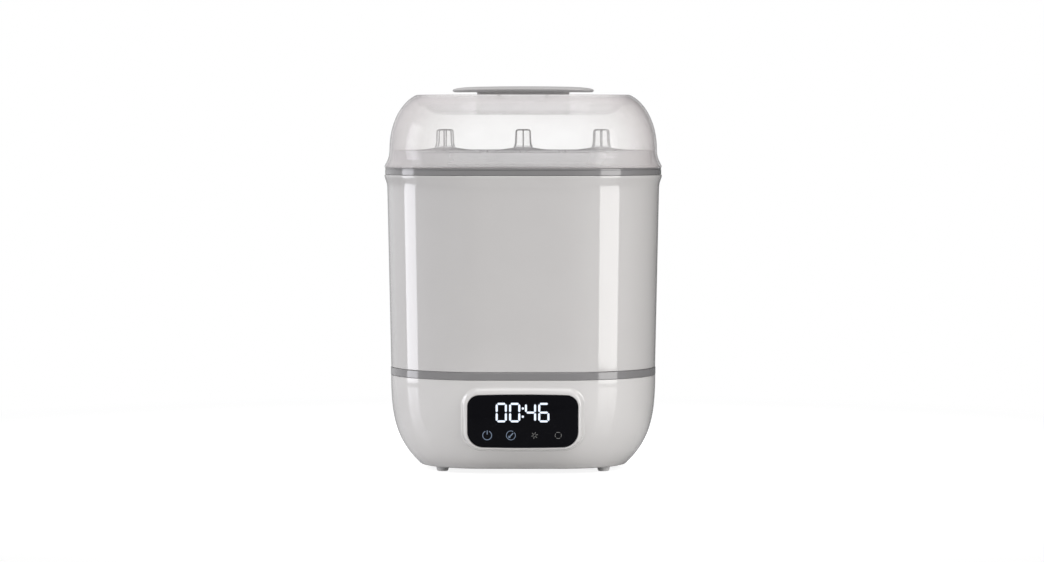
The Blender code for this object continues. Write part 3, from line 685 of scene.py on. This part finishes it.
def lid_outside():
    lip = [(100.0, LID_LOW), (LID_R, LID_LOW + 0.5), (LID_R, 302.5), (100.1, 303.3),
           (99.6, 304.4), (98.9, 305.8), (98.1, 307.4), (97.3, 309.2), (96.6, 311.2),
           (96.1, 313.4), (95.75, 315.8)]
    shoulder = list(arc((95.5 - 38.4, 320), (38.4, 56), 0, 69.5, 26))
    crest = [(69.7, LID_TOP - 0.6), (69.0, LID_TOP - 0.15), (68.0, LID_TOP), (67.2, LID_TOP - 0.2),
             (66.6, LID_TOP - 0.7)]
    step = [(66.2, 368), (66.0, 365.6), (65.6, 364.8), (64.8, 364.3), (60.0, 364.1)]
    bowl = list(arc((41, 364.1), (17, 364.1 - BASIN_FLOOR), -6, -90, 14))
    floor = [(30, BASIN_FLOOR), (13, BASIN_FLOOR)]
    rise = [(11.2, BASIN_FLOOR + 0.3), (10.0, BASIN_FLOOR + 1.2), (9.5, BASIN_FLOOR + 2.8),
            (8.6, LID_TOP - 1.2), (8.4, LID_TOP - 0.4), (7.8, LID_TOP), (0, LID_TOP)]
    return lip + shoulder + crest + step + bowl + floor + rise


def build_lid():
    bm = track_sweep(lid_outside(), False, 64, 10)
    bm.faces.ensure_lookup_table()
    for face in bm.faces:
        middle = face.calc_center_median()
        if math.hypot(max(0, abs(middle.x) - STRAIGHT), middle.y) < 66.4:
            face.material_index = 1
    outer = max(bm.faces, key=lambda f: f.calc_center_median().x)
    if outer.normal.x < 0:
        bmesh.ops.reverse_faces(bm, faces=bm.faces)
    shell = to_object(bm, "lid_dome", LID, 50)
    shell.data.materials.append(BASIN)
    wall = shell.modifiers.new("wall", "SOLIDIFY")
    wall.thickness = LID_WALL * MM
    wall.offset = -1
    wall.use_even_offset = True
    vents = [rounded_block((14, 2.4, 12), (-36 + 24 * i, 24 * j, 354), 1.2)
             for i in range(4) for j in (-1, 1)]
    bores = [turned_mesh([(0, 377), (1.7, 377), (1.7, 366), (0, 366)], (24 * side, 0.03, 0), 21)
             for side in (-1, 1)]
    boolean(shell, vents + bores)
    place(shell, "lid", ["lid_shell"])


def build_handle():
    bm = track_sweep([
        (0, HANDLE_TOP), (12, HANDLE_TOP - 0.05), (20, 381.75), (26, 381.3), (29.5, 380.75),
        (31.6, 380.1), (32.4, 379.5), (PLATE_R, 378.9), (32.4, 378.3), (31.7, 377.7),
        (30.6, 377.25), (29, 377.0), (10.0, 376.7), (8.6, 376.5), (8.0, 375.8), (8.0, 373.9),
        (7.6, HANDLE_LOW), (0, HANDLE_LOW)], False, 48, 8)
    for vert in bm.verts:
        if vert.co.z > 376:
            vert.co.z -= 1.0 * (vert.co.x / 70) ** 2
    plate = to_object(bm, "handle_plate", HANDLE, 60)
    bores = [turned_mesh([(0, 379), (1.6, 379), (1.6, 370), (0, 370)], (24 * side, 0.03, 0), 21)
             for side in (-1, 1)]
    boolean(plate, bores)
    place(plate, "lid", ["lid_handle"])


def fin(centre, width, thick, low, high, across, taper):
    """One web of a cross-shaped post, with rounded upper corners."""
    w0, w1, r = width / 2, width / 2 * taper, 1.6
    profile = [(-w0, low), (w0, low)]
    profile += list(arc((w1 - r, high - r), r, 8, 90, 6))
    profile += list(arc((r - w1, high - r), r, 90, 172, 6))
    rings = []
    for side in (-1, 1):
        ring = []
        for along, z in profile:
            x, y = (along, side * thick / 2) if across else (side * thick / 2, along)
            ring.append((centre[0] + x, centre[1] + y, z))
        rings.append(ring)
    return loft_mesh(rings)


def rod(path, across, radius):
    """A round rod along a path of (along, z) points in one upright plane."""
    points = [Vector(point) for point in path]
    rings = []
    for before, point, after in zip(points[:1] + points, points, points[1:] + points[-1:]):
        ahead = (after - before).normalized()
        ring = []
        for turn in range(10):
            a = math.tau * turn / 10
            side, out = radius * math.cos(a), radius * math.sin(a)
            along, z = point.x - ahead.y * side, point.y + ahead.x * side
            ring.append((along, out, z) if across else (out, along, z))
        rings.append(ring)
    return loft_mesh(rings)


def arch(centre, half, low, high, across, radius):
    """The thick rim of one web: up one side, over the top and down the other."""
    r = 2.2
    side = [(half + 2.0, low), (half + 1.0, low + 1.2), (half + 0.55, low + 2.8),
            (half + 0.35, low + 5)]
    path = side + list(arc((half - r, high - r), r, 4, 90, 7))
    path += list(arc((r - half, high - r), r, 90, 176, 7))
    path += [(-along, z) for along, z in reversed(side)]
    bm = rod(path, across, radius)
    bmesh.ops.translate(bm, verts=bm.verts, vec=(centre[0], centre[1], 0))
    return bm


def peg_places():
    return [(i * PEG_PITCH, sy * PEG_ROW) for i in (-1, 0, 1) for sy in (-1, 1)]


def build_tray():
    z = TRAY_DECK
    low = TRAY_LOW
    section = [
        (0, z), (88.0, z), (89.8, z - 0.1), (90.6, z - 0.6), (91, z - 1.6), (91, low + 3.4),
        (91.5, low + 2.3), (92.6, low + 1.7), (96.0, low + 1.6), (96.3, low + 1.3),
        (96.3, low + 0.3), (96.0, low), (89.3, low), (89, low + 0.3), (89, z - 2), (0, z - 2),
    ]
    deck = to_object(track_sweep(section, False, 48, 8), "accessory_rack", TRAY)
    places = [(i, j) for i in (-0.5, 0.5) for j in (-1, 0, 1)] + [(i, 0) for i in (-1, 0, 1)]
    slots = [rounded_block((8, 20, 8), (PEG_PITCH * i, PEG_ROW * j, z - 1), 3.9)
             for i, j in places]
    boolean(deck, slots)
    soften(deck, 0.35, 2, 40)
    place(deck, "tray", ["accessory_tray"])

    mound = [(0, z + 2.6), (7.4, z + 2.6), (8.4, z + 2.5), (10.5, z + 2.2), (13.5, z + 1.7),
             (17.5, z + 1.1), (22, z + 0.55), (27, z + 0.15), (31, z - 0.3), (0, z - 0.3)]
    names = ("left", "centre", "right")
    for column, name in enumerate(names):
        for row, side in ((-1, "front"), (1, "rear")):
            spot = ((column - 1) * PEG_PITCH, row * PEG_ROW)
            web = to_object(fin(spot, 14.0, 0.8, z + 2.2, PEG_TOP - 0.7, True, 0.97),
                            f"tray_peg_{side}_{name}", PEG)
            boolean(web, [fin(spot, 13.8, 0.8, z + 2.2, PEG_TOP - 0.75, False, 0.97)], "UNION")
            boolean(web, [turned_mesh(
                [(0, z + 4.4), (7.0, z + 4.4), (7.7, z + 4.1), (8.3, z + 3.4), (9.2, z + 2.9),
                 (10.5, z + 2.4), (0, z + 2.1)], (*spot, 0), 40)], "UNION")
            place(web, "tray", ["accessory_tray"])
            # The rims' dark grey is painted shade, standing in for the dark lines that the clear pegs
            # show along their edges.
            rims = merged([arch(spot, 6.9, z + 3.4, PEG_TOP - 0.72, True, 0.72),
                           arch(spot, 6.8, z + 3.4, PEG_TOP - 0.75, False, 0.45)])
            place(to_object(rims, f"tray_peg_rim_{side}_{name}", PEG_RIM_SHADE, 60), "tray",
                  ["accessory_tray"])
            foot = to_object(turned_mesh(mound, (*spot, 0), 48), f"tray_mound_{side}_{name}", TRAY)
            place(foot, "tray", ["accessory_tray"])


# Inside: the bottle rack, the deck under it, the pan and the hot air outlet

def build_rack():
    z, r = RACK_LOW, RACK_R
    section = [
        (0, z + 2.5), (r - 4.6, z + 2.5), (r - 3.2, z + 2.9), (r - 2.3, z + 4.2),
        (r - 2.1, RACK_RIM_TOP - 1.1), (r - 1.8, RACK_RIM_TOP - 0.4), (r - 1.1, RACK_RIM_TOP),
        (r - 0.4, RACK_RIM_TOP - 0.4), (r, RACK_RIM_TOP - 1.2), (r, z + 2.4),
        (r - 0.6, z + 0.8), (r - 2.2, z), (0, z),
    ]
    rack = to_object(track_sweep(section, False, 48, 8), "rack_frame", RACK)
    for x, y in peg_places():
        for across in (True, False):
            web = fin((x, y), 18 if across else 17.9, 2.8, z + 1, RACK_PEG_TOP, across, 0.95)
            boolean(rack, [web], "UNION")
    for side in (-1, 1):
        tab = rounded_block(RACK_TAB_SIZE, (side * RACK_TAB_X, 0, RACK_TAB_Z), 9, X)
        boolean(rack, [tab], "UNION")
    grips = [rounded_block((20, 20, 10), (side * RACK_TAB_X, 0, RACK_GRIP_Z), 4.9, X)
             for side in (-1, 1)]
    places = [(i, j) for i in (-0.75, -0.25, 0.25, 0.75) for j in (-1, 0, 1)]
    places += [(-1.25, 0), (1.25, 0)]
    slots = [rounded_block((14, 30, 8), (PEG_PITCH * i, PEG_ROW * j, z + 1), 5)
             for i, j in places]
    boolean(rack, grips + slots)
    soften(rack, 0.4, 2, 40)
    place(rack, "rack", ["bottle_rack"])


def build_deck():
    z, low = DECK_TOP, DECK_LOW
    section = [
        (0, z), (84.6, z), (86.0, z + 0.5), (86.7, z + 1.7), (86.8, 105.8), (87.2, 106.35),
        (88.2, 106.5), (89.2, 106.35), (89.6, 105.8), (89.6, z), (92.1, z), (92.1, low), (0, low),
    ]
    deck = to_object(track_sweep(section, False, 48, 8), "deck_plate", INNER)
    spots = [(x, y) for x in (-52, 52) for y in (-46, 46)]
    for x, y in spots:
        boolean(deck, [turned_mesh([(0, 94.5), (4, 94.5), (4, 8.4), (0, 8.4)], (x, y, 0), 32)],
                "UNION")
    holes = [turned_mesh([(0, 100), (r, 100), (r, 90), (0, 90)], (x, 0, 0), 96)
             for x, r in ((PAN_X, 45.5), (OUTLET_X, 17.4))]
    holes += [turned_mesh([(0, 24), (1.6, 24), (1.6, 6), (0, 6)], (x, y, 0), 24) for x, y in spots]
    boolean(deck, holes)
    place(deck, "base", ["top_deck"])

    dish = [
        (0, 85.2), (38, 85.2), (40.4, 85.5), (42.2, 86.5), (43.3, 88.2), (43.6, 90.2),
        (43.6, 97.5), (43.9, 98.2), (44.6, 98.5), (48.7, 98.5), (49.3, 98.3), (49.5, 97.9),
        (49.4, 97.5), (45.0, 97.5), (45.0, 89.4), (44.5, 87.2), (43.2, 85.4), (41.2, 84.3),
        (39, 84.0), (0, 84.0),
    ]
    place(to_object(turned_mesh(dish, (PAN_X, 0, 0), 96), "pan_dish", STEEL), "base",
          ["water_pan"])

    foot = DECK_TOP + GAP
    hood = [
        (0, 112), (18, 112), (20.6, 111.6), (22.6, 110.6), (23.7, 109.2), (24, 107.6), (24, foot),
        (22, foot), (22, 107.2), (21.4, 108.8), (20.2, 109.7), (18, 110), (0, 110),
    ]
    cap = to_object(turned_mesh(hood, (OUTLET_X, 0, 0), 80), "outlet_hood", INNER)
    for i in range(4):
        louvre = rounded_block((60, 7, 7), (0, 0, 0), 2.4, X)
        turn = Matrix.Rotation(math.pi * (i + 0.5) / 4, 4, "Z")
        bmesh.ops.transform(louvre, matrix=Matrix.Translation((OUTLET_X, 0, 103.5)) @ turn,
                            verts=louvre.verts)
        boolean(cap, [louvre])
    soften(cap, 0.3, 2, 40)
    place(cap, "base", ["air_outlet_cap"])


# Rear of the base

def build_rear():
    low, high = span("filter_cover", Z)
    half = (span("filter_cover", X)[1] - span("filter_cover", X)[0]) / 2
    heights = steps_between(low, high, 12)
    section = [(base_r(z), z) for z in heights] + [(base_r(z) - 2.5, z) for z in reversed(heights)]
    rows = [[(FILTER_X + x, y, z) for y, z in section] for x in (-half, half)]
    cover = to_object(loft_mesh(rows), "filter_grille", SHELL)
    slats = [rounded_block((36, 30, 2.6), (FILTER_X, 92, FILTER_Z - 10 + 5 * i), 1.2, Y)
             for i in range(5)]
    boolean(cover, slats)
    soften(cover, 0.4, 3)
    place(cover, "filter_cover", ["filter_cover"])

    depth = span("power_inlet", Y)
    inlet = to_object(rounded_block((22, depth[1] - depth[0], 15), (INLET_X, sum(depth) / 2, INLET_Z),
                                    1.4, Y), "mains_socket", DARK)
    waist = []
    for side in (-1, 1):
        waist.append(turned_mesh([(0, -6.5), (4.6, -6.5), (4.6, 8), (0, 8)],
                                 (INLET_X + 4.3 * side, 86, INLET_Z), 40,
                                 Matrix.Rotation(-math.pi / 2, 4, "X")))
    waist.append(rounded_block((8.6, 14.5, 7.4), (INLET_X, 86.75, INLET_Z), 0.5, Y))
    for tool in waist:
        boolean(inlet, [tool])
    soften(inlet, 0.35, 2)
    place(inlet, "base", ["power_inlet"])


# CAD nodes that stay, with their finishes

def dress_nodes():
    finishes = {
        "steel": STEEL, "copper": COPPER, "dark_plastic": DARK, "board": BOARD,
        "off_white": INNER, "grey_trim": TRIM, "silicone": SEAL, "foam": FOAM,
        "frosted_clear": RACK, "display_black": WINDOW, "foot_rubber": RUBBER,
    }
    for entry in frame["record"]["subparts"]:
        ob = frame["nodes"][entry["node"]]
        finish = finishes[entry["material_slot"]]
        ob.data.materials.clear()
        ob.data.materials.append(finish)


# Stage, lights and camera

CAMERA_RANGE = 3.5
CAMERA_HEIGHT = 0.3435
CAMERA_AZIMUTH = math.radians(0.3)
CAMERA_PITCH = math.radians(2.552)
CAMERA_ASIDE = -1.2 * MM
CAMERA_LENS = 120.69

ROOM_LIGHT = 0.90
FLOOR_RADIUS = 60000
# The floor's colour, as the object sees it, holds a painted pool of light round a spot in front of
# the object.
FLOOR_LIGHT_POOL_CENTRE = (-0.10, -0.55, 0)
FLOOR_POOL_LIT, FLOOR_POOL_UNLIT = 0.81, 0.28


def area_light(name, azimuth, distance, height, width, tall, radiance, colour=(1, 1, 1),
               aim=None):
    """A soft box of one radiance, at degrees from the front towards +X."""
    data = bpy.data.lights.new(name, "AREA")
    data.shape = "RECTANGLE"
    data.size, data.size_y = width, tall
    data.energy = radiance * math.pi * width * tall
    data.color = colour
    ob = bpy.data.objects.new(name, data)
    a = math.radians(azimuth)
    ob.location = (distance * math.sin(a), -distance * math.cos(a), height)
    target = Vector((0, 0, height if aim is None else aim))
    ob.rotation_euler = (target - ob.location).to_track_quat("-Z", "Y").to_euler()
    ob.visible_camera = False
    bpy.context.scene.collection.objects.link(ob)


def ranged(tree, value, from_low, from_high, low, high):
    """Maps a range to another with a smooth start and end."""
    node = tree.nodes.new("ShaderNodeMapRange")
    node.interpolation_type = "SMOOTHSTEP"
    node.inputs["From Min"].default_value = from_low
    node.inputs["From Max"].default_value = from_high
    node.inputs["To Min"].default_value = low
    node.inputs["To Max"].default_value = high
    tree.links.new(value, node.inputs["Value"])
    return node.outputs["Result"]


def product(tree, first, second):
    node = tree.nodes.new("ShaderNodeMath")
    node.operation = "MULTIPLY"
    for socket, value in zip(node.inputs, (first, second)):
        if isinstance(value, (int, float)):
            socket.default_value = value
        else:
            tree.links.new(value, socket)
    return node.outputs[0]


def grey(tree, value):
    """A colour with one value in all three channels."""
    node = tree.nodes.new("ShaderNodeCombineColor")
    for socket in list(node.inputs)[:3]:
        tree.links.new(value, socket)
    return node.outputs[0]


def by_camera_ray(tree, unseen, seen, target):
    """Shows one shader to the camera and another to every other ray."""
    path = tree.nodes.new("ShaderNodeLightPath")
    mix = tree.nodes.new("ShaderNodeMixShader")
    tree.links.new(path.outputs["Is Camera Ray"], mix.inputs[0])
    tree.links.new(unseen.outputs[0], mix.inputs[1])
    tree.links.new(seen.outputs[0], mix.inputs[2])
    tree.links.new(mix.outputs[0], target)


def cone(tree, direction, azimuth, elevation, inner, outer, inside):
    """One outside a cone of directions and a given value inside it."""
    a, e = math.radians(azimuth), math.radians(elevation)
    node = tree.nodes.new("ShaderNodeVectorMath")
    node.operation = "DOT_PRODUCT"
    node.inputs[1].default_value = (math.sin(a) * math.cos(e), -math.cos(a) * math.cos(e),
                                    math.sin(e))
    tree.links.new(direction, node.inputs[0])
    return ranged(tree, node.outputs["Value"], math.cos(math.radians(outer)),
                  math.cos(math.radians(inner)), 1, inside)


def build_floor():
    """A glossy white table to the object, its white painted brighter in a pool of light in front of
    the object and greyer away from it; to the camera near white, with painted shade and a faint
    shadow near the object.
    """
    bm = bmesh.new()
    bmesh.ops.create_circle(bm, cap_ends=True, segments=96, radius=FLOOR_RADIUS)
    floor = to_object(bm, "studio_floor")
    mat, tree, table = new_material("studio_floor_white")
    coords = tree.nodes.new("ShaderNodeTexCoord")
    far = tree.nodes.new("ShaderNodeVectorMath")
    far.operation = "LENGTH"
    tree.links.new(coords.outputs["Object"], far.inputs[0])
    lit = tree.nodes.new("ShaderNodeVectorMath")
    lit.operation = "DISTANCE"
    lit.inputs[1].default_value = FLOOR_LIGHT_POOL_CENTRE
    tree.links.new(coords.outputs["Object"], lit.inputs[0])
    # Painted light: the table's colour is brightest in a pool in front of the object and dims away
    # from it.
    painted_light_pool = ranged(tree, lit.outputs["Value"], 0.40, 0.95, FLOOR_POOL_LIT, FLOOR_POOL_UNLIT)
    grain = spread(tree, noise(tree, 6, 3), 0.99, 1.0)
    tree.links.new(grey(tree, product(tree, painted_light_pool, grain)), table.inputs["Base Color"])
    table.inputs["Roughness"].default_value = 0.10
    seen = tree.nodes.new("ShaderNodeBsdfPrincipled")
    shade = ranged(tree, far.outputs["Value"], 0.3, 0.9, 0.4, 0.0)
    tree.links.new(grey(tree, shade), seen.inputs["Base Color"])
    seen.inputs["Roughness"].default_value = 1.0
    seen.inputs["Specular IOR Level"].default_value = 0.0
    seen.inputs["Emission Color"].default_value = (1, 1, 1, 1)
    # Painted shade: near the object the glow dims to 0.88, so that the real shadow on the diffuse
    # part shows through.
    tree.links.new(ranged(tree, far.outputs["Value"], 0.3, 1.0, 0.88, 1.0),
                   seen.inputs["Emission Strength"])
    by_camera_ray(tree, table, seen, tree.nodes["Material Output"].inputs["Surface"])
    floor.data.materials.append(mat)


def build_world():
    """White to the camera; to the object a soft room, dimmer in front and dark behind right."""
    world = bpy.data.worlds.new("studio")
    bpy.context.scene.world = world
    world.use_nodes = True
    tree = world.node_tree
    room = tree.nodes["Background"]
    room.inputs["Color"].default_value = (0.985, 0.985, 1.0, 1)
    direction = tree.nodes.new("ShaderNodeTexCoord").outputs["Generated"]
    front = cone(tree, direction, 0, 0, 12, 34, 0.7)
    behind = cone(tree, direction, 142, 0, 18, 78, 0.12)
    tree.links.new(product(tree, product(tree, front, behind), ROOM_LIGHT),
                   room.inputs["Strength"])
    seen = tree.nodes.new("ShaderNodeBackground")
    seen.inputs["Color"].default_value = (1, 1, 1, 1)
    by_camera_ray(tree, room, seen, tree.nodes["World Output"].inputs["Surface"])

def build_stage():
    build_floor()
    build_world()
    area_light("softbox_right", 57.2, 1.0, 0.375, 0.425, 0.73, 3.0, (1.0, 0.985, 0.97))
    area_light("softbox_left", -95, 1.0, 0.375, 0.33, 0.73, 2.8, (0.945, 0.94, 1.0))
    area_light("overhead", 10, 0.6, 2.2, 1.6, 1.2, 1.6, aim=0.2)


def build_camera():
    data = bpy.data.cameras.new("camera")
    data.sensor_width = 36
    data.lens = CAMERA_LENS
    data.clip_end = 200
    camera = bpy.data.objects.new("camera", data)
    a = CAMERA_AZIMUTH
    camera.location = (CAMERA_RANGE * math.sin(a) + CAMERA_ASIDE * math.cos(a),
                       -CAMERA_RANGE * math.cos(a) + CAMERA_ASIDE * math.sin(a), CAMERA_HEIGHT)
    camera.rotation_euler = (math.pi / 2 - CAMERA_PITCH, 0, a)
    scene = bpy.context.scene
    scene.collection.objects.link(camera)
    scene.camera = camera
    scene.view_settings.view_transform = "Standard"
    scene.cycles.transparent_max_bounces = 32
    scene.cycles.use_denoising = True


build_stage()
build_camera()
dress_nodes()
build_base()
build_trim()
build_display()
build_marks()
build_chamber()
build_lid()
build_handle()
build_tray()
build_rack()
build_deck()
build_rear()
